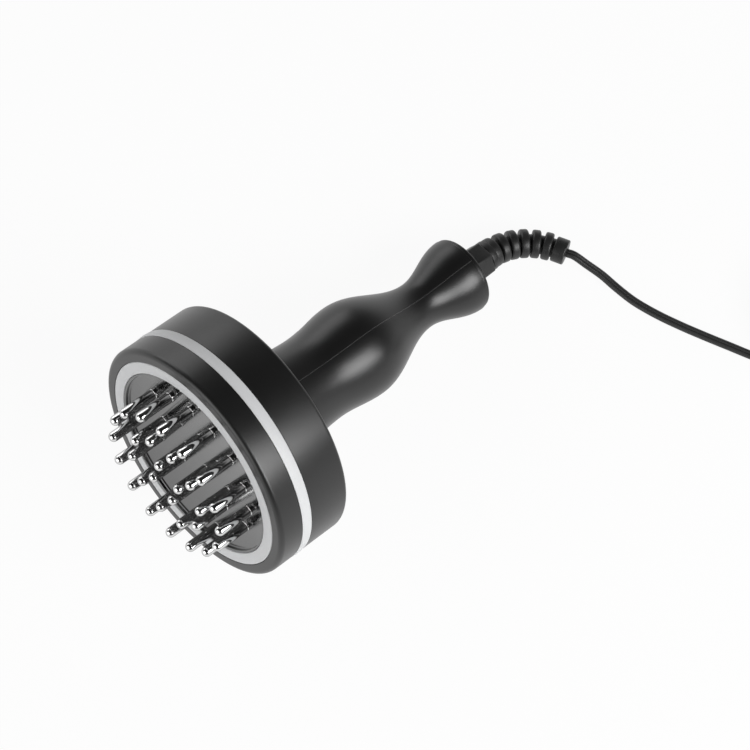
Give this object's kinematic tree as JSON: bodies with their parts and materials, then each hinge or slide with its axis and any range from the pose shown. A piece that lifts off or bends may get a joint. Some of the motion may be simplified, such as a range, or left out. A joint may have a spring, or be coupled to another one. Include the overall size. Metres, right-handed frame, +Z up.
{
  "type": "body massager",
  "caption": "Handheld body massager with a round heated head of steel massage pins, light rings, a waisted handle with push buttons and a corded supply lead.",
  "frame": {"origin": "centre of the underside of the device's box as it lies on a table, without its free lead", "axes": "+X along the device from the pins to the cord end, +Z up; the device's own axis dips 17.4 degrees towards +X because it lies on the head's back edge and the handle's end rim"},
  "size_m": [0.3183, 0.1752, 0.0991],
  "materials": {
    "black_plastic": "satin",
    "white_diffuser": "translucent matte",
    "pin_steel": "polished",
    "plate_steel": "polished",
    "button_plastic": "satin",
    "relief_rubber": "matte",
    "cord_sheath": "matte",
    "plug_metal": "plated",
    "screw_steel": "zinc",
    "board_green": "solder mask",
    "emitter_yellow": "resin",
    "film_brown": "film",
    "motor_steel": "drawn",
    "weight_brass": "cast",
    "carrier_plastic": "matte",
    "wire_red": "sleeve",
    "ceramic": "matte"
  },
  "bodies": {
    "massager": {"massage_pins": "pin_steel", "pin_plate": "plate_steel", "pin_nuts": "screw_steel", "heating_pad": "film_brown", "thermostat": "ceramic", "plate_carrier": "carrier_plastic", "carrier_screws": "screw_steel", "face_light_ring": "white_diffuser", "front_bezel": "black_plastic", "side_light_band": "white_diffuser", "light_board": "board_green", "light_emitters": "emitter_yellow", "head_housing": "black_plastic", "motor_bracket": "motor_steel", "bracket_screws": "screw_steel", "motor_can": "motor_steel", "handle_shell_front": "black_plastic", "handle_shell_back": "black_plastic", "control_board": "board_green", "board_switches": "carrier_plastic", "lead_wires": "cord_sheath", "motor_wires": "wire_red", "handle_end_cap": "black_plastic", "gland_block": "relief_rubber", "cord_clamp": "carrier_plastic", "clamp_screws": "screw_steel", "strain_relief": "relief_rubber", "cord": "cord_sheath", "cord_coil": "cord_sheath", "cord_tail": "cord_sheath", "plug_body": "relief_rubber", "plug_barrel": "plug_metal"},
    "heat_key": {"heat_button": "button_plastic"},
    "vibration_key": {"vibration_button": "button_plastic"},
    "rotor": {"motor_shaft": "screw_steel", "eccentric_weight": "weight_brass"}
  },
  "joints": [
    {"name": "heat_button_press", "type": "slide", "parent": "massager", "child": "heat_key", "axis": [-0.0332, -0.9938, -0.1064], "range_m": [0, 0.0008], "stiffness_N_per_m": 500, "springref_m": -0.0004},
    {"name": "vibration_button_press", "type": "slide", "parent": "massager", "child": "vibration_key", "axis": [-0.0332, -0.9938, -0.1064], "range_m": [0, 0.0008], "stiffness_N_per_m": 500, "springref_m": -0.0004},
    {"name": "motor_spin", "type": "hinge", "parent": "massager", "child": "rotor", "pos_m": [-0.0397, 0, 0.04943], "axis": [0.0333, 0.9938, 0.1064], "continuous": true}
  ]
}
